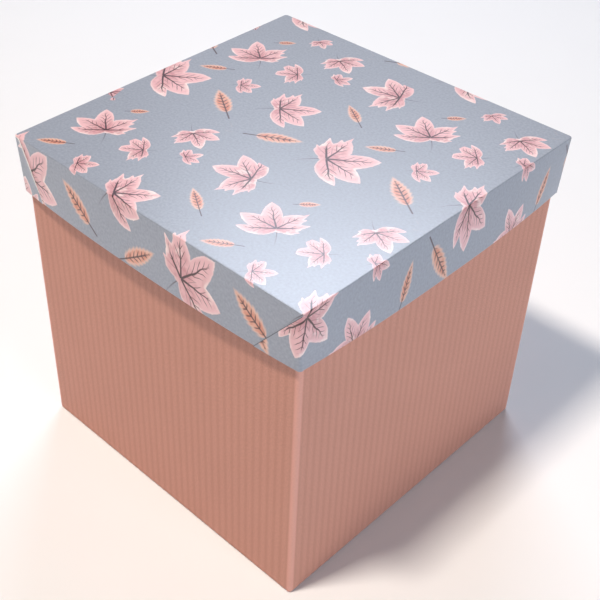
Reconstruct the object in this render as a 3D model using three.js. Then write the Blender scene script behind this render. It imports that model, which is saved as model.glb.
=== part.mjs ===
// A square flower box: a rigid greyboard box covered in ribbed paper, with a lift-off lid covered in
// printed paper. Millimetres, +Z up, origin at the middle of the underside.
import * as THREE from 'three';

// ---- driving dimensions ----
const height = 247; // underside to lid top, lid on
const baseSide = 249; // across the ribbed paper
const lidTopSide = 256.4; // across the lid's top edges
const lidRimCornerSide = 253.6; // across the lid's rim, measured at its corners
const lidRimMiddleSide = 262.6; // across the lid's rim, measured at mid-side, where it bows out
const skirtDepth = 43; // lid top to lid rim

// ---- sheet and board thicknesses ----
const baseBoard = 2;
const lidBoard = 1;
const lidTopBoard = 1.5;
const ribbedPaper = 0.6; // ribs included
const printedPaper = 0.25;
const tapePaper = 0.15;
const liningPaper = 0.2;
const underPaper = 0.3;
const glueGap = 0.1; // room left between glued layers

// ---- how far the papers reach ----
const baseTurnIn = 20; // ribbed paper folded down inside the walls
const baseTurnUnder = 16; // ribbed paper folded under the floor
const lidTurnIn = 38; // printed paper folded up inside the skirt
const liningBelowRim = 5; // ribbed paper left showing above the wall lining
const underSheetInset = 3;
const lidPlay = 0.25; // room between the base's rim and the lid's lining
const tapeSegments = 2; // lattice steps that a corner tape covers on each wall
const tapeShort = 1.5; // tape ends this far from a wall's top and bottom
const liningShort = 1; // the lid's lining ends this far from the skirt boards
const edgeBevel = 0.5; // where the printed paper folds over the lid's top edges
const cornerCut = 2; // the papers are pulled round the upright corners, this much off each face
const leastCut = 0.2;
const cornerNotch = 1.6; // end boards stop this far short of the corner, behind the tape

// ---- how the lid's skirt bows ----
const bowPower = 2.5; // flat in the middle, quick near the corners
const stepsPerSide = 10;

// ---- levels ----
const tapeRoom = glueGap + tapePaper + glueGap;
const underTop = underPaper;
const turnUnderLow = underTop + glueGap;
const turnUnderHigh = turnUnderLow + underPaper;
const boardsLow = turnUnderHigh + glueGap;
const floorTop = boardsLow + baseBoard;
const lidBoardTop = height - printedPaper - glueGap;
const lidBoardUnder = lidBoardTop - lidTopBoard;
const lidLiningHigh = lidBoardUnder - glueGap;
const lidLiningLow = lidLiningHigh - liningPaper;
const baseRim = lidLiningLow - lidPlay;
const wallTop = baseRim - underPaper - glueGap;
const lidRim = height - skirtDepth;
const turnedUp = lidRim + lidTurnIn; // where the printed paper ends inside the skirt

// ---- half widths ----
const baseOut = baseSide / 2;
const wallOut = baseOut - ribbedPaper - tapeRoom;
const wallIn = wallOut - baseBoard;
const wallToTurnIn = baseOut - wallIn + glueGap; // from the ribbed face in to its folded-in part
const liningOut = baseOut - wallToTurnIn - liningPaper - glueGap;
const liningIn = liningOut - liningPaper;
const skirtToBoard = printedPaper + tapeRoom; // from the printed face in to the skirt board
const skirtToTurnIn = skirtToBoard + lidBoard + glueGap;
const skirtToInside = skirtToTurnIn + liningPaper;

// ---- papers and boards ----
function paper(name, colour, roughness) {
  return new THREE.MeshStandardMaterial({ name, color: colour, roughness, metalness: 0 });
}
const greyboard = paper('greyboard', '#9c958a', 0.9);
const ribbedPink = paper('ribbed_pink_paper', '#c48f80', 0.8);
const printedBlue = paper('printed_paper', '#a6afbd', 0.45);
const tape = paper('gummed_tape', '#b99a73', 0.8);
const lining = paper('lining_paper', '#ece8e1', 0.85);
const underSheet = paper('under_paper', '#4a4745', 0.85);

// A lattice of values from -1 to 1, closer together at its ends.
function lattice() {
  const values = [];
  for (let i = 0; i <= stepsPerSide; i += 1) {
    values.push(Math.sin((Math.PI / 2) * (-1 + (2 * i) / stepsPerSide)));
  }
  return values;
}

// How far out the skirt bows at u along a side, as a share of its mid-side bow.
function bow(u) {
  return 1 - Math.abs(u) ** bowPower;
}

// Turns a point of the -Y side about Z onto side 0 to 3: -Y, +X, +Y, -X.
function onSide(side, x, y, z) {
  return new THREE.Vector3(x, y, z).applyAxisAngle(new THREE.Vector3(0, 0, 1), (side * Math.PI) / 2);
}

// Half widths of the lid's printed face at height z: at its corners and at mid-side.
function lidCorner(z) {
  const down = (height - z) / skirtDepth;
  return THREE.MathUtils.lerp(lidTopSide / 2, lidRimCornerSide / 2, down);
}
function lidBow(z) {
  const down = (height - z) / skirtDepth;
  return ((lidRimMiddleSide - lidRimCornerSide) / 2) * down;
}

// How much a line `inset` in from the outer face is cut off at a corner, measured along each face.
// It keeps the same gap across the corner as along the faces.
function cutAt(inset) {
  return Math.max(leastCut, cornerCut - (2 - Math.SQRT2) * inset);
}

// One closed line of points round the box at height z, `inset` in from a face `half` from the middle.
function loop(z, half, inset, bowed = 0) {
  const cut = cutAt(inset);
  const points = [];
  for (let side = 0; side < 4; side += 1) {
    for (const u of lattice()) {
      const across = half - inset + bowed * bow(u);
      points.push(onSide(side, u * (half - inset - cut), -across, z));
    }
  }
  return points;
}

// The base's loop at height z, `inset` in from the ribbed face.
function baseLoop(z, inset) {
  return loop(z, baseOut, inset);
}

// The lid's loop at height z, `inset` in from the printed face.
function lidLoop(z, inset) {
  return loop(z, lidCorner(z), inset, lidBow(z));
}

// A solid from triangles over a list of points, with its faces turned outwards.
function solid(points, triangles) {
  const volume = triangles.reduce(
    (sum, [a, b, c]) => sum + points[a].dot(points[b].clone().cross(points[c])),
    0,
  );
  const faces = volume < 0 ? triangles.map(([a, b, c]) => [a, c, b]) : triangles;
  const geometry = new THREE.BufferGeometry();
  geometry.setAttribute(
    'position',
    new THREE.Float32BufferAttribute(points.flatMap((p) => p.toArray()), 3),
  );
  geometry.setIndex(faces.flat());
  geometry.computeVertexNormals();
  return geometry;
}

// Two triangles over the four corners a, b, c, d of a cell.
function cell(a, b, c, d) {
  return [
    [a, b, c],
    [a, c, d],
  ];
}

// The cells between two rows of points, from place i to place next in each. Every cell on a bowed
// face is split the same way, from its upper point at i to its lower point at next, so that two
// sheets lying one on the other keep their gap.
function strip(points, here, there, i, next) {
  const corners = [here + i, here + next, there + next, there + i];
  const goesDown = points[here + i].z >= points[there + i].z;
  return goesDown ? cell(...corners) : cell(...corners.slice(1), corners[0]);
}

// Triangles between loops of equal length, each joined to the next.
function between(points, rows, count, closed) {
  const triangles = [];
  const last = closed ? rows : rows - 1;
  for (let row = 0; row < last; row += 1) {
    const there = ((row + 1) % rows) * count;
    for (let i = 0; i < count; i += 1) {
      triangles.push(...strip(points, row * count, there, i, (i + 1) % count));
    }
  }
  return triangles;
}

// A band round the box: its section's corners are loops, and the last loop joins the first.
function band(loops) {
  const points = loops.flat();
  return solid(points, between(points, loops.length, loops[0].length, true));
}

// A tray-like sheet: its first and last loops are closed over by flat sheets.
function tray(loops) {
  const count = loops[0].length;
  const points = loops.flat();
  const triangles = between(points, loops.length, count, false);
  const tops = [loops[0], loops[loops.length - 1]].map((line) => {
    points.push(new THREE.Vector3(0, 0, line[0].z));
    return points.length - 1;
  });
  const lastStart = (loops.length - 1) * count;
  for (let i = 0; i < count; i += 1) {
    const next = (i + 1) % count;
    triangles.push([next, i, tops[0]]);
    triangles.push([lastStart + i, lastStart + next, tops[1]]);
  }
  return solid(points, triangles);
}

// A plate: rows of points down its face, then as many back up its back.
function plate(rows) {
  const points = rows.flat();
  const count = rows[0].length;
  const triangles = [];
  rows.forEach((line, row) => {
    const there = ((row + 1) % rows.length) * count;
    for (let i = 0; i + 1 < count; i += 1) {
      triangles.push(...strip(points, row * count, there, i, i + 1));
    }
  });
  const lastRow = rows.length - 1;
  for (let row = 0; 2 * row + 1 < lastRow; row += 1) {
    const ring = [row, row + 1, lastRow - row - 1, lastRow - row].map((r) => r * count);
    triangles.push(...cell(...ring));
    triangles.push(...cell(...ring.reverse().map((start) => start + count - 1)));
  }
  return solid(points, triangles);
}

// A flat square sheet or board, `half` each way, from low to high.
function square(half, low, high) {
  const geometry = new THREE.BoxGeometry(2 * half, 2 * half, high - low);
  geometry.translate(0, 0, (low + high) / 2);
  return geometry;
}

// The same with its four corners cut off, so that it stays behind the tapes.
function cutSquare(half, low, high) {
  const outline = new THREE.Shape();
  const near = half - cornerNotch;
  for (let side = 0; side < 4; side += 1) {
    const start = onSide(side, -near, -half, 0);
    const end = onSide(side, near, -half, 0);
    if (side === 0) outline.moveTo(start.x, start.y);
    else outline.lineTo(start.x, start.y);
    outline.lineTo(end.x, end.y);
  }
  const geometry = new THREE.ExtrudeGeometry(outline, { depth: high - low, bevelEnabled: false });
  geometry.translate(0, 0, low);
  return geometry;
}

// A straight wall board on one side, reaching `reach` each way along it.
function wallBoard(side, reach) {
  const geometry = new THREE.BoxGeometry(2 * reach, baseBoard, wallTop - boardsLow);
  geometry.translate(0, -(wallOut + wallIn) / 2, (wallTop + boardsLow) / 2);
  geometry.rotateZ((side * Math.PI) / 2);
  return geometry;
}

// A bowed skirt board on one side. All four stop just short of the corner, behind the tapes.
function skirtBoard(side) {
  const endInset = skirtToBoard + cutAt(skirtToBoard);
  const row = (z, inset) =>
    lattice().map((u) => {
      const across = lidCorner(z) - inset + lidBow(z) * bow(u);
      return onSide(side, u * (lidCorner(z) - endInset), -across, z);
    });
  const levels = [lidBoardUnder - glueGap, turnedUp, lidRim + printedPaper + glueGap];
  const face = levels.map((z) => row(z, skirtToBoard));
  const back = levels.map((z) => row(z, skirtToBoard + lidBoard));
  return plate([...face, ...back.reverse()]);
}

// The stretch of a loop that a tape covers round the corner at the end of one side.
function roundCorner(line, side) {
  const corner = (side + 1) * (stepsPerSide + 1);
  const stretch = [];
  for (let i = corner - 1 - tapeSegments; i <= corner + tapeSegments; i += 1) {
    stretch.push(line[i % line.length]);
  }
  return stretch;
}

// A paper tape folded round a corner, with rows at the levels; lineAt(z, out) is its loop.
function cornerTape(side, levels, lineAt) {
  const face = levels.map((z) => roundCorner(lineAt(z, tapePaper), side));
  const back = levels.map((z) => roundCorner(lineAt(z, 0), side));
  return plate([...face, ...back.reverse()]);
}

function baseCornerTape(side) {
  const levels = [wallTop - tapeShort, boardsLow + tapeShort];
  const inset = ribbedPaper + glueGap + tapePaper;
  return cornerTape(side, levels, (z, out) => baseLoop(z, inset - out));
}

function lidCornerTape(side) {
  const levels = [lidBoardTop - tapeShort / 2, turnedUp, lidRim + tapeShort];
  const inset = printedPaper + glueGap + tapePaper;
  return cornerTape(side, levels, (z, out) => lidLoop(z, inset - out));
}

// Ribbed paper: up the outside, over the rim and down inside, and in under the floor.
function ribbedWrap() {
  const turnedDown = baseRim - baseTurnIn;
  return band([
    baseLoop(turnUnderLow, baseTurnUnder),
    baseLoop(turnUnderLow, 0),
    baseLoop(baseRim, 0),
    baseLoop(baseRim, wallToTurnIn + liningPaper),
    baseLoop(turnedDown, wallToTurnIn + liningPaper),
    baseLoop(turnedDown, wallToTurnIn),
    baseLoop(baseRim - underPaper, wallToTurnIn),
    baseLoop(baseRim - underPaper, ribbedPaper),
    baseLoop(turnUnderHigh, ribbedPaper),
    baseLoop(turnUnderHigh, baseTurnUnder),
  ]);
}

// Printed paper: over the top, down the skirt, round its rim and up inside.
function printedWrap() {
  return tray([
    lidLoop(height, edgeBevel),
    lidLoop(height - edgeBevel, 0),
    lidLoop(turnedUp, 0),
    lidLoop(lidRim, 0),
    lidLoop(lidRim, skirtToInside),
    lidLoop(turnedUp, skirtToInside),
    lidLoop(turnedUp, skirtToTurnIn),
    lidLoop(lidRim + printedPaper, skirtToTurnIn),
    lidLoop(lidRim + printedPaper, printedPaper),
    lidLoop(turnedUp, printedPaper),
    lidLoop(height - printedPaper, printedPaper),
  ]);
}

// Lining strip round the inside of the walls, over the folded-in edge of the ribbed paper.
function wallLining() {
  const low = floorTop + glueGap;
  const high = baseRim - liningBelowRim;
  return band([
    baseLoop(high, baseOut - liningOut),
    baseLoop(high, baseOut - liningIn),
    baseLoop(low, baseOut - liningIn),
    baseLoop(low, baseOut - liningOut),
  ]);
}

function node(name, geometry, material) {
  const mesh = new THREE.Mesh(geometry, material);
  mesh.name = name;
  return mesh;
}

const sideNames = ['front', 'right', 'back', 'left'];
const cornerNames = ['front_right', 'back_right', 'back_left', 'front_left'];

const base = new THREE.Group();
base.add(node('base_under_sheet', square(baseOut - underSheetInset, 0, underTop), underSheet));
base.add(node('base_floor_board', square(wallIn - glueGap, boardsLow, floorTop), greyboard));
sideNames.forEach((name, side) => {
  const reach = side % 2 === 0 ? wallOut - cornerNotch : wallIn - glueGap;
  base.add(node(`base_wall_board_${name}`, wallBoard(side, reach), greyboard));
});
cornerNames.forEach((name, side) => {
  base.add(node(`base_corner_tape_${name}`, baseCornerTape(side), tape));
});
base.add(node('base_ribbed_wrap', ribbedWrap(), ribbedPink));
base.add(node('base_wall_lining', wallLining(), lining));
const floorLiningLow = floorTop + glueGap;
const floorLiningHalf = liningIn - 2 * glueGap;
base.add(
  node(
    'base_floor_lining',
    square(floorLiningHalf, floorLiningLow, floorLiningLow + liningPaper),
    lining,
  ),
);

const lid = new THREE.Group();
const lidBoardHalf = lidTopSide / 2 - skirtToBoard;
lid.add(node('lid_top_board', cutSquare(lidBoardHalf, lidBoardUnder, lidBoardTop), greyboard));
sideNames.forEach((name, side) => {
  lid.add(node(`lid_skirt_board_${name}`, skirtBoard(side), greyboard));
});
cornerNames.forEach((name, side) => {
  lid.add(node(`lid_corner_tape_${name}`, lidCornerTape(side), tape));
});
lid.add(node('lid_printed_wrap', printedWrap(), printedBlue));
const lidLiningHalf = lidTopSide / 2 - skirtToInside - liningShort;
lid.add(node('lid_top_lining', square(lidLiningHalf, lidLiningLow, lidLiningHigh), lining));

const flowerBox = new THREE.Group();
flowerBox.add(base, lid);

export default flowerBox;
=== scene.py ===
import bpy
import numpy as np
from bpy.props import FloatProperty, FloatVectorProperty, IntProperty, PointerProperty
from mathutils import Matrix, Vector


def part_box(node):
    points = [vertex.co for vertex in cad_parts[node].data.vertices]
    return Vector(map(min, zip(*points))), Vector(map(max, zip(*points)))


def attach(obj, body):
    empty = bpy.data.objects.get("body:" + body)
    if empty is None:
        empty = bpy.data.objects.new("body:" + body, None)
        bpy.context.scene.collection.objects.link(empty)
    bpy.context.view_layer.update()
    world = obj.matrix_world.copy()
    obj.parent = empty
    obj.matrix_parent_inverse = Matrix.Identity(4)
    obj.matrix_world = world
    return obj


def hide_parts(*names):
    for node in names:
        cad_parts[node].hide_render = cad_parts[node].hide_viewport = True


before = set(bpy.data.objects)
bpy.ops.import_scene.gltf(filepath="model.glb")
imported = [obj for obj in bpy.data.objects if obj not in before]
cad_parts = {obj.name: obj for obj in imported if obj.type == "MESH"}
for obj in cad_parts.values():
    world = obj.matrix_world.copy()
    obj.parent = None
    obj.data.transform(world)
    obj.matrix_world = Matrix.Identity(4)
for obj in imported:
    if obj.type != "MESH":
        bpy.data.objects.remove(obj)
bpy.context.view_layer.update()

bl_info = {
    "name": "Flower box",
    "version": (1, 0, 0),
    "blender": (4, 5, 0),
    "location": "View3D > Sidebar > Flower box",
    "description": "Covers a packed rigid box and its lid with ribbed and printed paper",
    "category": "Object",
}

MM = 0.001
BASE_LOW, BASE_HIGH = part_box("base_ribbed_wrap")
LID_LOW, LID_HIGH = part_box("lid_printed_wrap")
TURN_UNDER_LOW = BASE_LOW.z / MM
BASE_HALF = BASE_HIGH.x / MM
BASE_RIM = BASE_HIGH.z / MM
LID_TOP = LID_HIGH.z / MM
LID_RIM = LID_LOW.z / MM
BOW_POWER = 2.5
LID_TOP_HALF = 128.2
LID_RIM_HALF = 126.8
LID_SKIN = 0.25
SKIRT_THICKNESS = 1.9
LID_TURNED_UP = LID_RIM + 38

# The print: one artwork of maple leaves and small feathered sprigs, repeated over the flat sheet.
# Millimetres from the middle of the lid, angles anticlockwise from +X.
REPEAT = (154.7, 143.5)
# centre x, y, reach, angle, mirrored
MAPLES = (
    (34.2, -5.7, 34.8, 38.4, False),
    (-72.1, 23.6, 14.5, 36.0, False),
    (-90.6, 61.5, 27.1, 139.3, True),
    (-54.7, 62.7, 17.9, 217.2, False),
    (-47.6, 99.2, 20.0, -29.0, True),
    (-30.2, 76.4, 12.0, 56.7, False),
)
LONE_MAPLES = (
    (-30.2, 19.1, 28.5, 37.3, False),
    (-30.2, 162.6, 28.5, 37.3, False),
    (-30.2, -124.4, 28.5, 37.3, False),
    (-184.9, 19.1, 28.5, 37.3, False),
    (-184.9, -124.4, 28.5, 37.3, False),
    (126.6, 16.5, 27.5, 44.0, False),
    (124.5, 162.6, 28.5, 37.3, False),
    (129.5, -124.2, 27.0, 37.3, False),
    (17.1, 88.0, 28.5, 194.5, False),
    (17.1, -55.5, 28.5, 194.5, False),
    (-137.6, 88.0, 28.5, 194.5, False),
    (-137.6, -55.5, 28.5, 194.5, False),
    (167.8, 66.5, 22.5, 194.5, False),
    (168.3, -86.3, 23.5, 194.5, False),
    (-127.9, -47.6, 20.0, -29.0, True),
    (-133.6, 96.0, 20.0, -29.0, True),
    (-77.8, 111.1, 11.4, -28.5, True),
    (75.5, 112.8, 11.4, -28.5, True),
)
# stalk end x, y, length, angle, width
SPRIGS = (
    (-44.2, -14.8, 42.2, 146.3, 10.8),
    (-25.4, -21.4, 42.2, 29.5, 10.0),
    (-90.9, 36.5, 27.1, 211.7, 6.3),
    (-101.1, 86.0, 17.7, 43.0, 5.1),
)
LONE_SPRIGS = (
    (-117.1, 43.6, 42.2, 153.0, 10.8),
    (25.1, 39.0, 31.9, 147.0, 7.1),
    (25.1, -104.5, 31.9, 147.0, 7.1),
    (-129.6, 39.0, 31.9, 147.0, 7.1),
    (-129.6, -104.5, 31.9, 147.0, 7.1),
    (165.4, -48.0, 31.9, 157.0, 7.1),
    (165.4, 94.3, 31.9, 157.0, 7.1),
)
# One maple leaf: its reach at each angle from the middle lobe, in degrees.
MAPLE_OUTLINE = (
    (-180, 0.15), (-160, 0.13), (-139, 0.22), (-127, 0.33), (-114, 0.45), (-102, 0.58),
    (-89, 0.74), (-77, 0.89), (-75, 0.77), (-73, 0.60), (-65, 0.73), (-59, 0.83),
    (-49, 0.98), (-43, 0.86), (-35, 0.72), (-29, 0.60), (-20, 0.70), (-12, 0.83),
    (-5, 0.93), (0, 1.00), (5, 0.90), (11, 0.79), (17, 0.63), (23, 0.46), (39, 0.60),
    (50, 0.70), (57, 0.78), (59, 0.91), (61, 0.81), (65, 0.68), (71, 0.74), (73, 0.62),
    (80, 0.55), (84, 0.60), (88, 0.75), (93, 0.62), (98, 0.54), (111, 0.46), (113, 0.54),
    (119, 0.45), (131, 0.40), (140, 0.28), (154, 0.17), (180, 0.15),
)
# Where each lobe's share of the leaf starts, and which way its main vein runs, in degrees.
MAPLE_LOBES = ((-180, -82), (-66, -44), (-24, -2), (26, 56), (76, 94))
SPRIG_OUTLINE = (
    (0.0, 0.0), (0.18, 0.0), (0.26, 0.55), (0.40, 0.92), (0.55, 1.0), (0.72, 0.80),
    (0.88, 0.42), (1.0, 0.0),
)


def linear(code):
    """A screen colour written as six hex digits, as the linear red, green and blue of light."""
    screen = np.array([int(code[i : i + 2], 16) for i in (0, 2, 4)]) / 255
    light = np.where(screen > 0.04045, ((screen + 0.055) / 1.055) ** 2.4, screen / 12.92)
    return tuple(float(value) for value in light)


def colour_property(name, description, code):
    return FloatVectorProperty(
        name=name, description=description, default=linear(code), size=3, min=0, max=1, subtype="COLOR"
    )


def length_property(name, description, millimetres):
    return FloatProperty(
        name=name, description=description, default=millimetres * MM, min=0, unit="LENGTH", precision=5
    )


class FlowerBoxSizes(bpy.types.PropertyGroup):
    ribs_per_side: IntProperty(
        name="Ribs per side", description="Ribs of the base paper between two corners", default=39, min=4
    )
    rib_depth: length_property("Rib depth", "How deep the grooves between the ribs are", 0.10)
    base_corner: length_property("Base corner", "Radius of the base's upright corners", 2.6)
    lid_corner: length_property("Lid corner", "Radius of the lid's upright corners", 2.4)
    lid_edge: length_property("Lid edge", "Radius of the fold round the lid's top", 0.6)
    fold_paper: length_property("Fold paper", "Thickness of the paper lapped round the lid's corners", 0.22)
    fold_curl: length_property("Fold curl", "How far the loose fold at the front left stands up", 0.6)


class FlowerBoxColours(bpy.types.PropertyGroup):
    ground: colour_property("Print ground", "Blue-grey behind the leaves", "8d94a2")
    leaf: colour_property("Leaf", "Pink of the maple leaves", "deb0b5")
    leaf_heart: colour_property("Leaf heart", "Mauve wash in the middle of a leaf", "bd8086")
    leaf_rim: colour_property("Leaf rim", "Pale edge of a leaf", "f4e1df")
    vein: colour_property("Vein", "Burgundy of the veins and stems", "360514")
    sprig: colour_property("Sprig", "Peach of the small sprigs", "c98069")
    sprig_rim: colour_property("Sprig rim", "Pale edge of a sprig", "e4bfae")
    ribbed: colour_property("Ribbed paper", "Salmon of the base paper", "c08b7b")
    # The groove colour is painted shade: the grooves between the ribs are darkened as if shaded.
    groove: colour_property("Groove", "Darker salmon in the grooves", "b27d6d")
    greyboard: colour_property("Greyboard", "Recycled board", "9c958a")
    tape: colour_property("Gummed tape", "Brown paper tape", "b99a73")
    lining: colour_property("Lining paper", "White inside paper", "ece8e1")
    under: colour_property("Under paper", "Dark paper under the base", "4a4745")
    floor: colour_property("Floor", "Studio floor", "f2f3f6")


# ---- surfaces ----


def side_lattice(half, radius, straight_cells, corner_cells):
    """Distances along one side from its middle, from half-way round one corner to half-way round the
    next, with the last left out because the next side starts there."""
    straight = half - radius
    arc = np.linspace(0, np.pi / 4, corner_cells + 1) * radius
    flat = np.sin(np.linspace(-np.pi / 2, np.pi / 2, straight_cells + 1)) * 0.5
    flat = (flat + np.linspace(-0.5, 0.5, straight_cells + 1)) * straight
    return np.concatenate([-straight - arc[:0:-1], flat, straight + arc[1:-1]])


def turned(points, side):
    """Points turned about +Z by a quarter turn for each side."""
    angle = side * np.pi / 2
    cos, sin = np.round(np.cos(angle)), np.round(np.sin(angle))
    x, y = points[..., 0], points[..., 1]
    return np.stack([x * cos - y * sin, x * sin + y * cos, *np.moveaxis(points, -1, 0)[2:]], axis=-1)


def round_square(along, half, radius, out, bow):
    """Plan of a square's -Y side with rounded corners. A distance `along` the side is a straight part,
    bowed outwards by bow * (1 - |u| ** power), and a quarter circle at each end. `out` moves the line
    outwards at right angles to itself."""
    straight = half - radius
    u = np.clip(along / straight, -1, 1)
    turn = (along - u * straight) / radius
    bend = np.maximum(radius + out, 0.3)
    middle = half + out - bend
    x = u * middle + bend * np.sin(turn)
    y = -(middle + bend * np.cos(turn) + bow * (1 - np.abs(u) ** BOW_POWER))
    return x, y


def lid_point(along, out, z, radius):
    """A point of the lid's side. The half width shrinks and the bow grows in proportion to the depth
    below the top."""
    down = (LID_TOP - z) / (LID_TOP - LID_RIM)
    half = LID_TOP_HALF + (LID_RIM_HALF - LID_TOP_HALF) * down
    x, y = round_square(along * half / LID_TOP_HALF, half, radius, out, 4.5 * down)
    return np.stack(np.broadcast_arrays(x, y, z), axis=-1)


def arc(centre, radius, start, end, cells):
    """Out and height along part of a circle in the section, from one angle to another in degrees."""
    angle = np.radians(np.linspace(start, end, cells + 1))
    return np.stack([centre[0] + radius * np.cos(angle), centre[1] + radius * np.sin(angle)], axis=-1)


def line(start, end, cells):
    """Out and height along a straight part of the section, without its two ends."""
    share = np.linspace(0, 1, cells + 1)[1:-1, None]
    return np.array(start) * (1 - share) + np.array(end) * share


def walked(section):
    """Distance walked along a section from its first point."""
    steps = np.hypot(*np.diff(section, axis=0).T)
    return np.concatenate([[0], np.cumsum(steps)])


def drawn(sheet):
    """The flat sheet as it was printed: past the folds at its +X and -Y sides the artwork lies a little
    further out than its repeat, by up to 7.2 mm, along a smooth step of the distance from the middle."""
    outwards = np.array([1, -1])
    share = np.clip((sheet * outwards - 112) / 60, 0, 1)
    return sheet - outwards * 7.2 * share * share * (3 - 2 * share)


def add_mesh(name, points, quads, triangles, sheet, smooth_angle):
    """A mesh piece from points in millimetres, with a sheet coordinate for every face corner. Faces are
    turned round where the whole encloses a negative volume."""
    faces = np.concatenate([quads.ravel(), triangles.ravel()])
    sizes = np.concatenate([np.full(len(quads), 4), np.full(len(triangles), 3)])
    fans = np.concatenate([quads[:, [0, 1, 2]], quads[:, [0, 2, 3]], triangles])
    a, b, c = (points[fans[:, k]] for k in range(3))
    starts = np.concatenate([[0], np.cumsum(sizes)[:-1]])
    if np.einsum("ij,ij->i", a, np.cross(b, c)).sum() < 0:
        order = np.arange(len(faces))
        quad_part = order[: quads.size].reshape(-1, 4)[:, ::-1].ravel()
        triangle_part = order[quads.size :].reshape(-1, 3)[:, ::-1].ravel()
        order = np.concatenate([quad_part, triangle_part])
        faces = faces[order]
        sheet = sheet[order]
    mesh = bpy.data.meshes.new(name)
    mesh.vertices.add(len(points))
    mesh.vertices.foreach_set("co", (points * MM).astype(np.float32).ravel())
    mesh.loops.add(len(faces))
    mesh.loops.foreach_set("vertex_index", faces.astype(np.int32))
    mesh.polygons.add(len(sizes))
    mesh.polygons.foreach_set("loop_start", starts.astype(np.int32))
    mesh.update(calc_edges=True)
    layer = mesh.uv_layers.new(name="sheet")
    layer.data.foreach_set("uv", sheet.astype(np.float32).ravel())
    mesh.validate()
    mesh.shade_smooth()
    mesh.set_sharp_from_angle(angle=np.radians(smooth_angle))
    piece = bpy.data.objects.new(name, mesh)
    bpy.context.scene.collection.objects.link(piece)
    return piece


def ring_cells(rows, columns, closed_rows):
    """The four point numbers of every cell of a grid whose columns close on themselves, and whose rows
    do too where asked."""
    row = np.arange(rows if closed_rows else rows - 1)[:, None]
    column = np.arange(columns)[None, :]
    below = (row + 1) % rows
    right = (column + 1) % columns
    upper, lower = row * columns, below * columns
    corners = (upper + column, upper + right, lower + right, lower + column)
    return np.stack(np.broadcast_arrays(*corners), axis=-1).reshape(-1, 4)


def cell_sheet(left, right, closed_rows):
    """Sheet coordinates of every cell's four corners, from those of its left and right ends."""
    below = np.roll(np.arange(len(left)), -1)
    rows = slice(None) if closed_rows else slice(0, -1)
    corners = (left, right, right[below], left[below])
    return np.stack([part[rows] for part in corners], axis=2).reshape(-1, 2)


def lid_wrap(sizes):
    """The printed sheet: a flat top out to its rounded edge, the bowed skirts, a roll round the rim and
    the part turned up inside, then back along the paper's inner face, one section carried round a
    rounded square. Its sheet coordinate is the place on the flat paper."""
    radius, edge = sizes.lid_corner / MM, sizes.lid_edge / MM
    roll = SKIRT_THICKNESS / 2
    inner = roll - LID_SKIN
    outer_part = [
        [(-edge - 0.3, LID_TOP)],
        arc((-edge, LID_TOP - edge), edge, 90, 0, 5),
        [(0, LID_TOP - edge - 0.3)],
        line((0, LID_TOP - edge), (0, LID_RIM + roll), 12),
        [(0, LID_RIM + roll + 0.3)],
        arc((-roll, LID_RIM + roll), roll, 0, -180, 8),
        line((-2 * roll, LID_RIM + roll), (-2 * roll, LID_TURNED_UP), 4),
        [(-2 * roll, LID_TURNED_UP)],
    ]
    back_part = [
        [(-2 * roll + LID_SKIN, LID_TURNED_UP)],
        arc((-roll, LID_RIM + roll), inner, -180, 0, 6),
        line((-LID_SKIN, LID_RIM + roll), (-LID_SKIN, LID_TOP - LID_SKIN), 4),
        [(-LID_SKIN, LID_TOP - LID_SKIN)],
    ]
    outer = np.concatenate(outer_part)
    section = np.concatenate([outer, *back_part])
    depth = np.concatenate([walked(outer) - edge * 1.1 - 0.3, np.full(len(section) - len(outer), 20.0)])
    along = side_lattice(LID_TOP_HALF, radius, 36, 4)
    side_rows = lid_point(along[None, :], section[:, :1], section[:, 1:], radius)
    walls = np.concatenate([turned(side_rows, side) for side in range(4)], axis=1)
    shares = np.linspace(0, 1, 13)[1:-1, None, None]
    flat = np.array([1, 1, 0])
    top = walls[:1] * flat * shares + walls[:1] * (1 - flat)
    bottom = walls[-1:] * flat * shares[::-1] + walls[-1:] * (1 - flat)
    grid = np.concatenate([top, walls, bottom])
    rows, columns = grid.shape[:2]
    poles = np.array([[0, 0, LID_TOP], [0, 0, LID_TOP - LID_SKIN]])
    points = np.concatenate([grid.reshape(-1, 3), poles])
    quads = ring_cells(rows, columns, False)
    here = np.arange(columns)
    after = (here + 1) % columns
    last = (rows - 1) * columns
    first_fan = np.stack([after, here, np.full(columns, rows * columns)], axis=-1)
    last_fan = np.stack([last + here, last + after, np.full(columns, rows * columns + 1)], axis=-1)
    ends = np.append(along, -along[0])
    left, right = [], []
    for side in range(4):
        for chosen, store in ((ends[:-1], left), (ends[1:], right)):
            place = np.broadcast_arrays(chosen[None, :], -(LID_TOP_HALF + depth[:, None]))
            store.append(turned(np.stack(place, axis=-1), side))
    left, right = np.concatenate(left, axis=1), np.concatenate(right, axis=1)
    whole_left = np.concatenate([top[..., :2], left, bottom[..., :2]])
    whole_right = np.concatenate([top[..., :2], right, bottom[..., :2]])
    rolled = np.roll(top[..., :2], -1, axis=1)
    whole_right[: len(top)] = rolled
    whole_left[len(top)] = walls[0, :, :2]
    whole_right[len(top)] = np.roll(walls[0, :, :2], -1, axis=0)
    sheet = cell_sheet(whole_left, whole_right, False)
    fans = np.concatenate([first_fan, last_fan])
    flat_points = points[:, :2]
    sheet = np.concatenate([sheet, flat_points[fans.ravel()]])
    return add_mesh("lid_wrap", points, quads, fans, drawn(sheet), 50)


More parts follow.
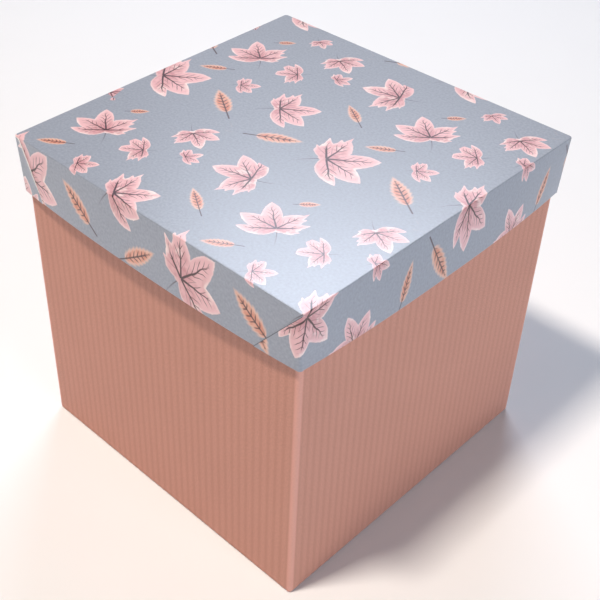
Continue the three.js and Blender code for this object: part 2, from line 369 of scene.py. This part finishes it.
def corner_fold(name, side, end, top_width, rim_width, curl, sizes):
    """A flap lapped round a corner onto side `side`, at its end +1 or -1. It follows the lid's side from
    the neighbour's straight part, round the corner, and on to a straight cut whose distance from the
    corner grows from the top width to the rim width. Its outer face is one paper thickness out, and its
    cut may curl away from the lid by the fourth power of the way to it."""
    radius = sizes.lid_corner / MM
    paper = sizes.fold_paper / MM
    straight = LID_TOP_HALF - radius
    depth = np.linspace(sizes.lid_edge / MM * 1.2, LID_TOP - LID_RIM - 0.3, 24)[:, None]
    width = top_width + (rim_width - top_width) * depth / (LID_TOP - LID_RIM)
    share = np.concatenate([np.linspace(0, 0.1, 9), np.linspace(0.1, 1, 22)[1:]])[None, :]
    quarter = np.pi / 2 * radius
    reach = quarter / 2 + width
    walk = np.concatenate([share * (reach - 0.45), reach], axis=1)
    share = walk / reach
    lift = np.clip(walk / quarter, 0, 1)
    fall = np.clip((0.82 - depth / (LID_TOP - LID_RIM)) * 5, 0, 1)
    raised = paper * lift + curl * share**4 * fall
    z = LID_TOP - depth + 0 * walk
    along = end * (straight + quarter - walk)
    outer = lid_point(along, 0.02 + raised, z, radius)
    back = lid_point(along, 0.01 + 0.3 * (raised - paper * lift) + 0 * walk, z, radius)
    rows, columns = walk.shape
    points = turned(np.concatenate([outer.reshape(-1, 3), back.reshape(-1, 3)]), side)
    size = rows * columns
    number = np.arange(size).reshape(rows, columns)
    cells = np.stack([number[:-1, :-1], number[:-1, 1:], number[1:, 1:], number[1:, :-1]], axis=-1)
    cells = cells.reshape(-1, 4)
    border = np.concatenate([number[0], number[1:, -1], number[-1, -2::-1], number[-2:0:-1, 0]])
    ahead = np.roll(border, -1)
    strip = np.stack([ahead, border, border + size, ahead + size], axis=-1)
    quads = np.concatenate([cells, cells[:, ::-1] + size, strip])
    neighbour = (side + end) % 4
    place = np.stack([-end * (straight + walk), -(LID_TOP_HALF + depth + 0 * walk)], axis=-1)
    flat = turned(place.reshape(-1, 2), neighbour)
    sheet = drawn(np.concatenate([flat, flat])[quads.ravel()])
    empty = np.zeros((0, 3), int)
    piece = add_mesh(name, points, quads, empty, sheet, 40)
    cut = np.zeros(len(quads), np.int32)
    cut[2 * len(cells) :] = 1
    line = np.zeros((rows - 1, columns - 1), np.int32)
    line[:, -1] = (depth[:-1, 0] < (LID_TOP - LID_RIM) * 0.82) | (curl == 0)
    cut[: len(cells)] = line.ravel()
    piece.data.polygons.foreach_set("material_index", cut)
    return piece


def base_wrap(sizes):
    """The ribbed sheet: under the floor's edge, up the walls, over the rim and down inside, then back
    along the paper's inner face, one section carried round a rounded square. The ribs are rounded
    crests, |sin| ** 1.2 of the distance along, with soft grooves between them that fade at the
    corners. At the back the paper's end laps over its start."""
    radius = sizes.base_corner / MM
    quarter = 2 * (BASE_HALF - radius) + np.pi / 2 * radius
    ribs = sizes.ribs_per_side
    along = (np.arange(ribs * 8) / (ribs * 8) - 0.5) * quarter
    low, rim, skin = TURN_UNDER_LOW, BASE_RIM, 0.3
    outer_part = [
        [(-16, low)],
        line((-16, low), (-1.2, low), 3),
        arc((-1.2, low + 1.2), 1.2, -90, 0, 5),
        [(0, low + 1.5)],
        line((0, low + 1.2), (0, rim - 1), 8),
        [(0, rim - 1.3)],
        arc((-1, rim - 1), 1, 0, 90, 4),
        arc((-2.55, rim - 0.7), 0.7, 90, 180, 4),
        line((-3.25, rim - 0.7), (-3.25, rim - 20), 3),
        [(-3.25, rim - 20)],
    ]
    back_part = [[(-3.05, rim - 20), (-3.05, rim - skin), (-0.6, rim - skin), (-0.6, low + skin)]]
    back_part.append([(-16, low + skin)])
    outer = np.concatenate(outer_part)
    section = np.concatenate([outer, *back_part])
    depth = np.concatenate([walked(outer), np.full(len(section) - len(outer), 20.0)])
    seen = np.clip((depth[: len(outer)] - 8) / 6, 0, 1)
    shows = np.concatenate([seen, np.zeros(len(section) - len(outer))])
    past = np.clip((np.abs(along) - (BASE_HALF - radius - 1.2)) / 1.2, 0, 1)
    phase = along / quarter * ribs
    groove = (1 - np.abs(np.sin(np.pi * phase)) ** 1.2) * (1 - past)
    ribbed = -sizes.rib_depth / MM * groove[None, :] * shows[:, None]
    rings = []
    for side in range(4):
        lap = np.zeros_like(along)
        if side == 2:
            ahead = (along + 104) / 24
            lap = 0.28 * np.clip(ahead, 0, 1) * (ahead <= 1)
        out = section[:, :1] + ribbed + lap[None, :] * shows[:, None]
        x, y = round_square(along[None, :], BASE_HALF, radius, out, 0)
        z = np.broadcast_to(section[:, 1:], x.shape)
        rings.append(turned(np.stack([x, y, z], axis=-1), side))
    grid = np.concatenate(rings, axis=1)
    rows, columns = grid.shape[:2]
    quads = ring_cells(rows, columns, True)
    walk = np.concatenate([along + side * quarter for side in range(4)])
    step = along[1] - along[0]
    shape = (rows, columns)
    left = np.stack([np.broadcast_to(walk, shape), np.broadcast_to(depth[:, None], shape)], axis=-1)
    right = left + np.array([step, 0])
    sheet = cell_sheet(left, right, True)
    empty = np.zeros((0, 3), int)
    piece = add_mesh("base_wrap", grid.reshape(-1, 3), quads, empty, sheet, 50)
    # This share fades the grooves at the corners and also masks the painted highlight there.
    corner = np.clip((np.abs(along) - (BASE_HALF - radius - 1.5)) / 1.5, 0, 1)
    corner = np.broadcast_to(np.tile(corner, 4)[None, :], shape)
    attribute = piece.data.attributes.new("corner", "FLOAT", "POINT")
    attribute.data.foreach_set("value", corner.astype(np.float32).ravel())
    return piece


def sweep():
    """The studio floor: a flat disc that turns up along a quarter circle into an upright backdrop all
    round, one section turned about +Z."""
    rise = arc((4000, 1000), 1000, -90, 0, 10)
    section = [[(1500, 0)], line((1500, 0), (4000, 0), 4), rise, [(5000, 2000)]]
    section = np.concatenate(section)
    angle = np.linspace(0, 2 * np.pi, 97)[:-1]
    reach = section[:, :1]
    height = np.broadcast_to(section[:, 1:] - 0.05, (len(section), len(angle)))
    grid = np.stack([reach * np.cos(angle), reach * np.sin(angle), height], axis=-1)
    points = np.concatenate([grid.reshape(-1, 3), [[0, 0, -0.05]]])
    quads = ring_cells(*grid.shape[:2], False)
    here = np.arange(len(angle))
    fan = np.stack([here, (here + 1) % len(angle), np.full(len(angle), len(points) - 1)], axis=-1)
    sheet = points[np.concatenate([quads.ravel(), fan.ravel()]), :2]
    return add_mesh("floor", points, quads, fan, sheet, 60)


# ---- finishes ----


class Wiring:
    """Adds the nodes of one material, each call giving back the new node's output."""

    def __init__(self, name):
        self.material = bpy.data.materials.new(name)
        self.material.use_nodes = True
        self.tree = self.material.node_tree
        self.tree.nodes.clear()
        self.shader = self.tree.nodes.new("ShaderNodeBsdfPrincipled")
        output = self.tree.nodes.new("ShaderNodeOutputMaterial")
        self.tree.links.new(self.shader.outputs[0], output.inputs["Surface"])

    def put(self, socket, value):
        if isinstance(value, bpy.types.NodeSocket):
            self.tree.links.new(value, socket)
        elif value is not None:
            socket.default_value = value

    def node(self, kind, **settings):
        node = self.tree.nodes.new(kind)
        for key, value in settings.items():
            setattr(node, key, value)
        return node

    def math(self, operation, a, b=None, c=None):
        node = self.node("ShaderNodeMath", operation=operation)
        for socket, value in zip(node.inputs, (a, b, c)):
            self.put(socket, value)
        return node.outputs[0]

    def vector(self, operation, a, b=None, c=None):
        node = self.node("ShaderNodeVectorMath", operation=operation)
        for socket, value in zip(node.inputs, (a, b, c)):
            self.put(socket, value)
        single = operation in ("LENGTH", "DISTANCE", "DOT_PRODUCT")
        return node.outputs["Value" if single else "Vector"]

    def split(self, vector):
        node = self.node("ShaderNodeSeparateXYZ")
        self.put(node.inputs[0], vector)
        return node.outputs

    def join(self, x, y, z):
        node = self.node("ShaderNodeCombineXYZ")
        for socket, value in zip(node.inputs, (x, y, z)):
            self.put(socket, value)
        return node.outputs[0]

    def step(self, value, low, high, first=0.0, last=1.0):
        node = self.node("ShaderNodeMapRange", interpolation_type="SMOOTHSTEP")
        for socket, given in zip(node.inputs, (value, low, high, first, last)):
            self.put(socket, given)
        return node.outputs[0]

    def mix(self, share, first, last, blend="MIX"):
        node = self.node("ShaderNodeMix", data_type="RGBA", blend_type=blend)
        self.put(node.inputs["Factor"], share)
        self.put(node.inputs[6], first if isinstance(first, bpy.types.NodeSocket) else (*first, 1))
        self.put(node.inputs[7], last if isinstance(last, bpy.types.NodeSocket) else (*last, 1))
        return node.outputs[2]

    def mix_vector(self, share, first, last):
        node = self.node("ShaderNodeMix", data_type="VECTOR")
        self.put(node.inputs["Factor"], share)
        self.put(node.inputs[4], first)
        self.put(node.inputs[5], last)
        return node.outputs[1]

    def noise(self, vector, scale, detail=2.0, roughness=0.5, distortion=0.0):
        node = self.node("ShaderNodeTexNoise", noise_dimensions="3D")
        self.put(node.inputs["Vector"], vector)
        self.put(node.inputs["Scale"], scale)
        self.put(node.inputs["Detail"], detail)
        self.put(node.inputs["Roughness"], roughness)
        self.put(node.inputs["Distortion"], distortion)
        return node.outputs[0]

    def curve(self, value, points, straight=True):
        node = self.node("ShaderNodeFloatCurve")
        curve = node.mapping.curves[0]
        for index, (x, y) in enumerate(points):
            if index < 2:
                point = curve.points[index]
                point.location = (x, y)
            else:
                point = curve.points.new(x, y)
        for point in curve.points:
            point.handle_type = "VECTOR" if straight else "AUTO"
        node.mapping.update()
        self.put(node.inputs["Value"], value)
        return node.outputs[0]

    def bump(self, height, distance, strength=1.0, normal=None):
        node = self.node("ShaderNodeBump")
        self.put(node.inputs["Strength"], strength)
        self.put(node.inputs["Distance"], distance * MM)
        self.put(node.inputs["Height"], height)
        self.put(node.inputs["Normal"], normal)
        return node.outputs[0]

    def sheet(self):
        """The piece's place on its flat paper, in millimetres."""
        node = self.node("ShaderNodeUVMap", uv_map="sheet")
        return node.outputs[0]

    def place(self, scale=1000.0):
        """The place in the box, in millimetres."""
        node = self.node("ShaderNodeTexCoord")
        return self.vector("MULTIPLY", node.outputs["Object"], (scale, scale, scale))

    def finish(self, colour, roughness, normal=None, gloss=0.5):
        self.put(self.shader.inputs["Base Color"], colour)
        self.put(self.shader.inputs["Roughness"], roughness)
        self.put(self.shader.inputs["Normal"], normal)
        self.shader.inputs["Specular IOR Level"].default_value = gloss
        return self.material


def nearest_motif(w, sheet):
    """The place of this point in the nearest leaf or sprig, in that motif's own size. Its z holds 0 for
    a leaf or 1 for a sprig, plus a share that differs from one motif to the next."""
    motifs = [(leaf, "maple", True) for leaf in MAPLES] + [(leaf, "maple", False) for leaf in LONE_MAPLES]
    motifs += [(sprig, "sprig", True) for sprig in SPRIGS]
    motifs += [(sprig, "sprig", False) for sprig in LONE_SPRIGS]
    tile = (REPEAT[0] / 2, REPEAT[1] / 2, 0)
    best, best_reach = None, None
    for number, (motif, kind, repeats) in enumerate(motifs):
        x, y, size, angle, extra = motif
        local = w.vector("SUBTRACT", sheet, (x, y, 0))
        if repeats:
            local = w.vector("WRAP", local, tile, tuple(-value for value in tile))
        seed = (number * 0.37) % 0.9 + 0.05
        mapping = w.node("ShaderNodeMapping", vector_type="TEXTURE")
        w.put(mapping.inputs["Vector"], local)
        across = size * (-1 if extra else 1) if kind == "maple" else extra * 4
        mapping.inputs["Location"].default_value = (0, 0, -seed - (kind == "sprig"))
        mapping.inputs["Rotation"].default_value = (0, 0, np.radians(angle))
        mapping.inputs["Scale"].default_value = (size, across, 1)
        local = mapping.outputs[0]
        low, high = ((-0.6, 0, 0), (0.45, 0, 9)) if kind == "maple" else ((0, 0, 0), (1, 0, 9))
        core = w.vector("MINIMUM", w.vector("MAXIMUM", local, low), high)
        reach = w.vector("DISTANCE", local, core)
        if kind == "sprig":
            reach = w.math("MULTIPLY", reach, 4.0)
        if best is None:
            best, best_reach = local, reach
            continue
        nearer = w.math("LESS_THAN", reach, best_reach)
        best = w.mix_vector(nearer, best, local)
        best_reach = w.math("MINIMUM", reach, best_reach)
    return best


def painted_maple(w, x, y, seed, colours, ground):
    """One watercolour maple leaf over the ground. Its edge is a reach that depends on the angle. Each
    lobe has a main vein along its own direction and side veins that branch off it like a herringbone,
    and the colour pales towards the edge."""
    flat = w.join(x, y, 0.0)
    distance = w.vector("LENGTH", flat)
    angle = w.math("ARCTAN2", y, x)
    turn = w.math("MULTIPLY_ADD", angle, 1 / (2 * np.pi), 0.5)
    wash = w.noise(w.join(x, y, w.math("MULTIPLY", seed, 9.0)), 3.2, 3.0, 0.6)
    reach = w.curve(turn, [(degrees / 360 + 0.5, value) for degrees, value in MAPLE_OUTLINE])
    ragged = w.math("MULTIPLY_ADD", w.noise(flat, 11.0, 2.0), 0.06, -0.03)
    inside = w.math("SUBTRACT", w.math("ADD", reach, ragged), distance)
    ramp = w.node("ShaderNodeValToRGB")
    ramp.color_ramp.interpolation = "CONSTANT"
    elements = ramp.color_ramp.elements
    for index, (start, axis) in enumerate(MAPLE_LOBES):
        place = start / 360 + 0.5
        element = elements[index] if index < 2 else elements.new(place)
        element.position = place
        element.color = (axis / 360 + 0.5,) * 3 + (1,)
    w.put(ramp.inputs[0], turn)
    away = w.math("MULTIPLY", w.math("SUBTRACT", turn, w.split(ramp.outputs[0])[0]), 2 * np.pi)
    wander = w.math("MULTIPLY_ADD", w.noise(flat, 4.0, 1.0), 0.16, -0.08)
    along = w.math("MULTIPLY", distance, w.math("COSINE", away))
    across = w.math("MULTIPLY", distance, w.math("SINE", away))
    aside = w.math("ABSOLUTE", w.math("MULTIPLY_ADD", wander, along, across))
    thick = w.math("MULTIPLY_ADD", along, -0.016, 0.019)
    main = w.step(w.math("SUBTRACT", aside, thick), -0.005, 0.010, 1.0, 0.0)
    main = w.math("MULTIPLY", main, w.step(inside, 0.10, 0.26))
    branch = w.math("MULTIPLY_ADD", aside, -1.5, along)
    ladder = w.math("PINGPONG", w.math("ADD", branch, 0.02), 0.08)
    side = w.step(ladder, 0.004, 0.018, 1.0, 0.0)
    side = w.math("MULTIPLY", side, w.step(aside, 0.09, 0.19, 1.0, 0.0))
    side = w.math("MULTIPLY", side, w.step(branch, 0.12, 0.16))
    side = w.math("MULTIPLY", side, w.step(inside, 0.10, 0.22))
    veins = w.math("MAXIMUM", main, w.math("MULTIPLY", side, 0.95))
    veins = w.math("MULTIPLY", veins, w.step(distance, 0.5, 1.0, 1.0, 0.6))
    bend = w.math("MULTIPLY_ADD", w.math("MULTIPLY", x, x), 0.3, y)
    stem = w.step(w.math("ABSOLUTE", bend), 0.004, 0.020, 1.0, 0.0)
    stem = w.math("MULTIPLY", stem, w.step(x, -0.75, -0.05, 0.0, 0.9))
    stem = w.math("MULTIPLY", stem, w.step(x, 0.0, 0.03, 1.0, 0.0))
    heart = w.math("MULTIPLY_ADD", distance, -0.9, w.math("MULTIPLY_ADD", wash, 2.1, -0.34))
    body = w.mix(w.step(heart, 0.0, 0.75), colours.leaf, colours.leaf_heart)
    pale = w.math("MULTIPLY", w.step(inside, 0.0, 0.11, 1.0, 0.0), w.step(wash, 0.3, 0.65, 0.15, 0.75))
    body = w.mix(pale, body, colours.leaf_rim)
    body = w.mix(w.math("MULTIPLY", w.step(wash, 0.52, 0.68), 0.6), body, colours.leaf_rim)
    body = w.mix(veins, body, colours.vein)
    under = w.mix(w.math("MULTIPLY", stem, 0.8), ground, colours.vein)
    return w.mix(w.step(inside, -0.012, 0.02), under, body)


def painted_sprig(w, x, y, seed, colours, ground):
    """One feathery sprig over the ground: a lens whose edge is broken by slanting barbs, a dark middle
    stem that runs on into the stalk, and thin dark barbs. The side measure is a quarter of its width."""
    aside = w.math("MULTIPLY", w.math("ABSOLUTE", y), 6.6)
    wander = w.math("MULTIPLY_ADD", w.noise(w.join(x, y, seed), 9.0, 1.0), 0.05, x)
    slant = w.math("MULTIPLY_ADD", aside, -0.12, wander)
    ladder = w.math("PINGPONG", slant, 0.048)
    reach = w.curve(x, SPRIG_OUTLINE, straight=False)
    ragged = w.math("MULTIPLY_ADD", ladder, 4.0, 0.94)
    inside = w.math("SUBTRACT", w.math("MULTIPLY", reach, ragged), w.math("ADD", aside, 0.10))
    stem = w.step(aside, 0.03, 0.13, 1.0, 0.0)
    stem = w.math("MULTIPLY", stem, w.step(x, 0.0, 0.02))
    stem = w.math("MULTIPLY", stem, w.step(x, 0.70, 0.92, 1.0, 0.0))
    barbs = w.step(ladder, 0.006, 0.020, 1.0, 0.0)
    barbs = w.math("MULTIPLY", barbs, w.step(inside, 0.15, 0.5))
    wash = w.noise(w.join(x, y, w.math("MULTIPLY", seed, 7.0)), 5.0, 2.0)
    body = w.mix(w.step(wash, 0.35, 0.7, 0.0, 0.5), colours.sprig, colours.sprig_rim)
    body = w.mix(w.step(inside, 0.0, 0.55, 0.85, 0.0), body, colours.sprig_rim)
    body = w.mix(w.math("MULTIPLY", barbs, 0.85), body, colours.vein)
    coat = w.mix(w.step(inside, -0.12, 0.30), ground, body)
    return w.mix(w.math("MULTIPLY", stem, 0.9), coat, colours.vein)


def printed_paper(colours):
    """Satin blue-grey paper printed with maple leaves and sprigs, read from the flat sheet."""
    w = Wiring("printed_paper")
    sheet = w.sheet()
    x, y, mark = w.split(nearest_motif(w, sheet))
    is_sprig = w.math("GREATER_THAN", mark, 1.0)
    seed = w.math("FRACT", mark)
    cloud = w.noise(sheet, 0.012, 2.0)
    speckle = w.noise(sheet, 0.6, 1.0, 0.5)
    tone = w.math("MULTIPLY_ADD", cloud, 0.08, w.math("MULTIPLY_ADD", speckle, 0.42, 0.75))
    ground = w.vector("MULTIPLY", (*colours.ground,), w.join(tone, tone, tone))
    maple = painted_maple(w, x, y, seed, colours, ground)
    sprig = painted_sprig(w, x, y, seed, colours, ground)
    colour = w.mix(is_sprig, maple, sprig)
    peel = w.noise(sheet, 1.1, 3.0, 0.6)
    height = w.math("MULTIPLY_ADD", w.noise(sheet, 0.09, 2.0), 4.0, peel)
    normal = w.bump(height, 0.02, 0.5)
    roughness = w.math("MULTIPLY_ADD", peel, 0.10, 0.27)
    return w.finish(colour, roughness, normal, 0.85)


def paper_cut(name, low, high):
    """The edge of the printed paper: its white body where it was cut, or a dark grey painted shadow line
    where the paper is folded under.
    """
    w = Wiring(name)
    grain = w.noise(w.sheet(), 3.0, 2.0)
    colour = w.mix(grain, linear(low), linear(high))
    return w.finish(colour, 0.8, w.bump(grain, 0.02, 0.5), 0.3)


def ribbed_paper(colours, sizes):
    """Matt salmon paper: painted shade darkens the grooves against lighter crests by the distance along the
    sheet, upright fibres, and a painted highlight, a paler band, at each rounded corner."""
    w = Wiring("ribbed_paper")
    sheet = w.sheet()
    radius = sizes.base_corner / MM
    quarter = 2 * (BASE_HALF - radius) + np.pi / 2 * radius
    u = w.split(sheet)[0]
    phase = w.math("MULTIPLY", u, sizes.ribs_per_side / quarter)
    crest = w.math("PINGPONG", phase, 0.5)
    wander = w.math("MULTIPLY_ADD", w.noise(w.vector("MULTIPLY", sheet, (1, 0.4, 1)), 1.2, 2.0), 0.16, -0.08)
    # Painted shade: the grooves between the ribs are darkened in colour, and the crests stay lighter.
    groove_shade = w.step(w.math("ADD", crest, wander), 0.04, 0.36, 1.0, 0.0)
    attribute = w.node("ShaderNodeAttribute", attribute_name="corner")
    corner = attribute.outputs["Fac"]
    groove_shade = w.math("MULTIPLY", groove_shade, w.math("SUBTRACT", 1.0, corner))
    fibre = w.noise(sheet, 0.85, 2.0, 0.65)
    cloud = w.noise(sheet, 0.02, 2.0)
    colour = w.mix(w.math("MULTIPLY", groove_shade, 0.5), colours.ribbed, colours.groove)
    tone = w.math("MULTIPLY_ADD", fibre, 0.6, w.math("MULTIPLY_ADD", cloud, 0.08, 0.67))
    colour = w.vector("MULTIPLY", colour, w.join(tone, tone, tone))
    # Painted highlight: a paler pink band on each rounded corner, where the corner catches more light.
    colour = w.mix(w.math("MULTIPLY", corner, 0.4), colour, linear("ecb2a6"))
    normal = w.bump(fibre, 0.05, 0.6)
    roughness = w.math("MULTIPLY_ADD", fibre, 0.15, 0.62)
    return w.finish(colour, roughness, normal, 0.35)


def greyboard(colours):
    """Recycled board: warm grey with dark and pale flecks and a felted surface."""
    w = Wiring("greyboard")
    place = w.place()
    felt = w.noise(place, 0.7, 5.0, 0.7)
    flecks = w.step(w.noise(place, 1.6, 1.0), 0.66, 0.72)
    tone = w.math("MULTIPLY_ADD", felt, 0.3, 0.85)
    colour = w.vector("MULTIPLY", (*colours.greyboard,), w.join(tone, tone, tone))
    colour = w.mix(w.math("MULTIPLY", flecks, 0.35), colour, linear("5f574d"))
    return w.finish(colour, w.math("MULTIPLY_ADD", felt, 0.1, 0.82), w.bump(felt, 0.1, 0.6), 0.25)


def gummed_tape(colours):
    """Brown gummed paper tape with long fibres along its length."""
    w = Wiring("gummed_tape")
    place = w.place()
    fibre = w.noise(w.vector("MULTIPLY", place, (1.5, 1.5, 0.12)), 1.2, 4.0, 0.7)
    tone = w.math("MULTIPLY_ADD", fibre, 0.35, 0.83)
    colour = w.vector("MULTIPLY", (*colours.tape,), w.join(tone, tone, tone))
    return w.finish(colour, w.math("MULTIPLY_ADD", fibre, 0.2, 0.45), w.bump(fibre, 0.05, 0.6), 0.4)


def lining_paper(colours):
    """Uncoated white lining paper with a soft tooth and faint clouding."""
    w = Wiring("lining_paper")
    place = w.place()
    tooth = w.noise(place, 1.3, 4.0, 0.65)
    cloud = w.noise(place, 0.03, 2.0)
    tone = w.math("MULTIPLY_ADD", tooth, 0.06, w.math("MULTIPLY_ADD", cloud, 0.05, 0.945))
    colour = w.vector("MULTIPLY", (*colours.lining,), w.join(tone, tone, tone))
    return w.finish(colour, w.math("MULTIPLY_ADD", tooth, 0.12, 0.72), w.bump(tooth, 0.04, 0.6), 0.3)


def under_paper(colours):
    """Dark uncoated paper under the base, scuffed a little paler where it has slid on shelves."""
    w = Wiring("under_paper")
    place = w.place()
    tooth = w.noise(place, 1.0, 4.0, 0.65)
    scuff = w.step(w.noise(w.vector("MULTIPLY", place, (0.02, 0.15, 1)), 1.0, 3.0, 0.6), 0.55, 0.8)
    tone = w.math("MULTIPLY_ADD", tooth, 0.3, 0.85)
    colour = w.vector("MULTIPLY", (*colours.under,), w.join(tone, tone, tone))
    colour = w.mix(w.math("MULTIPLY", scuff, 0.25), colour, linear("8a857f"))
    return w.finish(colour, w.math("MULTIPLY_ADD", tooth, 0.15, 0.75), w.bump(tooth, 0.05, 0.6), 0.3)


def studio_floor(colours):
    """Plain pale matt paper with a very faint mottle, which glows more and more further out: painted light,
    with no lamp behind it.
    """
    w = Wiring("studio_floor")
    place = w.place()
    mottle = w.noise(place, 0.01, 2.0)
    tone = w.math("MULTIPLY_ADD", mottle, 0.02, 0.99)
    colour = w.vector("MULTIPLY", (*colours.floor,), w.join(tone, tone, tone))
    w.put(w.shader.inputs["Emission Color"], colour)
    # Painted light: the floor and backdrop glow more and more from 1.8 m out, though no lamp is there.
    w.put(w.shader.inputs["Emission Strength"], w.step(w.vector("LENGTH", place), 1800.0, 5000.0, 0.0, 0.5))
    return w.finish(colour, 0.9, None, 0.2)


# ---- operators ----


class FLOWERBOX_OT_lid_wrap(bpy.types.Operator):
    """Covers the lid with one printed sheet"""

    bl_idname = "flower_box.lid_wrap"
    bl_label = "Printed lid wrap"

    def execute(self, context):
        box = context.scene.flower_box_sizes
        colours = context.scene.flower_box_colours
        piece = lid_wrap(box)
        piece.data.materials.append(printed_paper(colours))
        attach(piece, "lid")
        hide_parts("lid_printed_wrap")
        return {"FINISHED"}


class FLOWERBOX_OT_lid_folds(bpy.types.Operator):
    """Laps the lid's side flaps round its four corners"""

    bl_idname = "flower_box.lid_folds"
    bl_label = "Lid corner folds"

    def execute(self, context):
        box = context.scene.flower_box_sizes
        colours = context.scene.flower_box_colours
        curl = box.fold_curl / MM
        folds = (
            ("lid_fold_front_right", 0, 1, -0.8, 34.0, 0.0),
            ("lid_fold_front_left", 0, -1, 5.0, 22.5, curl),
            ("lid_fold_back_right", 2, -1, -0.8, 34.0, 0.0),
            ("lid_fold_back_left", 2, 1, 5.0, 22.5, curl / 2),
        )
        printed = bpy.data.objects["lid_wrap"].data.materials[0]
        cut = paper_cut("printed_paper_cut", "d8d6d0", "f9f8f6")
        # Painted shadow: a dark grey edge stands for the thin shadow along the folds where the paper turns
        # under.
        fold_shadow = paper_cut("printed_paper_fold_shadow", "4d4f57", "6c6f79")
        for fold in folds:
            piece = corner_fold(*fold, box)
            piece.data.materials.append(printed)
            piece.data.materials.append(cut if fold[-1] else fold_shadow)
            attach(piece, "lid")
        return {"FINISHED"}


class FLOWERBOX_OT_base_wrap(bpy.types.Operator):
    """Covers the base with ribbed paper"""

    bl_idname = "flower_box.base_wrap"
    bl_label = "Ribbed base wrap"

    def execute(self, context):
        box = context.scene.flower_box_sizes
        piece = base_wrap(box)
        piece.data.materials.append(ribbed_paper(context.scene.flower_box_colours, box))
        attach(piece, "base")
        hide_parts("base_ribbed_wrap")
        return {"FINISHED"}


class FLOWERBOX_OT_boards_and_papers(bpy.types.Operator):
    """Gives the boards, tapes, linings and under sheet their finishes"""

    bl_idname = "flower_box.boards_and_papers"
    bl_label = "Boards, tapes and linings"

    def execute(self, context):
        colours = context.scene.flower_box_colours
        finishes = {
            "board": greyboard(colours),
            "tape": gummed_tape(colours),
            "lining": lining_paper(colours),
            "under": under_paper(colours),
        }
        for name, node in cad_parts.items():
            found = [finish for word, finish in finishes.items() if word in name]
            if found:
                for slot in node.material_slots:
                    slot.material = found[0]
        return {"FINISHED"}


class FLOWERBOX_OT_stage(bpy.types.Operator):
    """Adds the floor, soft lights and the camera"""

    bl_idname = "flower_box.stage"
    bl_label = "Stage"

    def execute(self, context):
        colours = context.scene.flower_box_colours
        floor = sweep()
        floor.data.materials.append(studio_floor(colours))
        lights = (
            ("back_softbox", 217, 47, 2.0, 0.8, 0.3, 15.5, (0.77, 0.85, 1.0)),
            ("key_softbox", -14, 69, 2.2, 0.3, 0.2, 43.0, (1.0, 0.89, 0.77)),
            ("right_softbox", 84, 15, 2.2, 1.0, 0.7, 15.4, (0.79, 0.89, 1.0)),
        )
        for name, azimuth, elevation, distance, width, height, power, colour in lights:
            add_light(name, azimuth, elevation, distance, (width, height), power, colour)
        world = bpy.data.worlds.new("studio")
        world.use_nodes = True
        world.node_tree.nodes["Background"].inputs["Color"].default_value = (0.9, 0.96, 1, 1)
        world.node_tree.nodes["Background"].inputs["Strength"].default_value = 0.03
        context.scene.world = world
        context.scene.view_settings.view_transform = "Standard"
        add_camera(context, 45.44, 39.31, 0.807, (-0.0344, 0.1092), 66.6, 0.10)
        return {"FINISHED"}


def facing(azimuth, elevation, target, distance):
    """A frame that looks at the target from an azimuth and elevation in degrees, at a distance."""
    a, e = np.radians(azimuth), np.radians(elevation)
    back = Vector((np.sin(a) * np.cos(e), -np.cos(a) * np.cos(e), np.sin(e)))
    right = Vector((np.cos(a), np.sin(a), 0))
    up = back.cross(right)
    turn = Matrix((right, up, back)).transposed().to_4x4()
    return Matrix.Translation(Vector(target) + back * distance) @ turn


def add_light(name, azimuth, elevation, distance, size, power, colour):
    lamp = bpy.data.lights.new(name, "AREA")
    lamp.shape = "RECTANGLE"
    lamp.size, lamp.size_y = size
    lamp.energy = power
    lamp.color = colour
    light = bpy.data.objects.new(name, lamp)
    bpy.context.scene.collection.objects.link(light)
    light.matrix_world = facing(azimuth, elevation, (0, 0, 0.12), distance)


def add_camera(context, azimuth, elevation, distance, target, lens, shift):
    """The camera looks at a point `target` to its right and up from the middle of the underside."""
    a = np.radians(azimuth)
    point = (target[0] * np.cos(a), target[0] * np.sin(a), target[1])
    data = bpy.data.cameras.new("camera")
    data.lens = lens
    data.sensor_width = 36
    data.shift_x = shift
    data.clip_start = 0.01
    data.clip_end = 50
    camera = bpy.data.objects.new("camera", data)
    context.scene.collection.objects.link(camera)
    camera.matrix_world = facing(azimuth, elevation, point, distance)
    context.scene.camera = camera


class FLOWERBOX_PT_panel(bpy.types.Panel):
    """Makes the flower box piece by piece"""

    bl_label = "Flower box"
    bl_idname = "FLOWERBOX_PT_panel"
    bl_space_type = "VIEW_3D"
    bl_region_type = "UI"
    bl_category = "Flower box"

    def draw(self, context):
        for group in (context.scene.flower_box_sizes, context.scene.flower_box_colours):
            column = self.layout.column()
            for name in group.__annotations__:
                column.prop(group, name)
        for operator in OPERATORS:
            self.layout.operator(operator.bl_idname)


OPERATORS = (
    FLOWERBOX_OT_lid_wrap,
    FLOWERBOX_OT_lid_folds,
    FLOWERBOX_OT_base_wrap,
    FLOWERBOX_OT_boards_and_papers,
    FLOWERBOX_OT_stage,
)
CLASSES = (FlowerBoxSizes, FlowerBoxColours, *OPERATORS, FLOWERBOX_PT_panel)


def register():
    for item in CLASSES:
        bpy.utils.register_class(item)
    bpy.types.Scene.flower_box_sizes = PointerProperty(type=FlowerBoxSizes)
    bpy.types.Scene.flower_box_colours = PointerProperty(type=FlowerBoxColours)


def unregister():
    del bpy.types.Scene.flower_box_colours
    del bpy.types.Scene.flower_box_sizes
    for item in reversed(CLASSES):
        bpy.utils.unregister_class(item)


def main():
    register()
    bpy.ops.flower_box.lid_wrap()
    bpy.ops.flower_box.lid_folds()
    bpy.ops.flower_box.base_wrap()
    bpy.ops.flower_box.boards_and_papers()
    bpy.ops.flower_box.stage()
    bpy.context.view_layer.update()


if __name__ == "__main__":
    main()
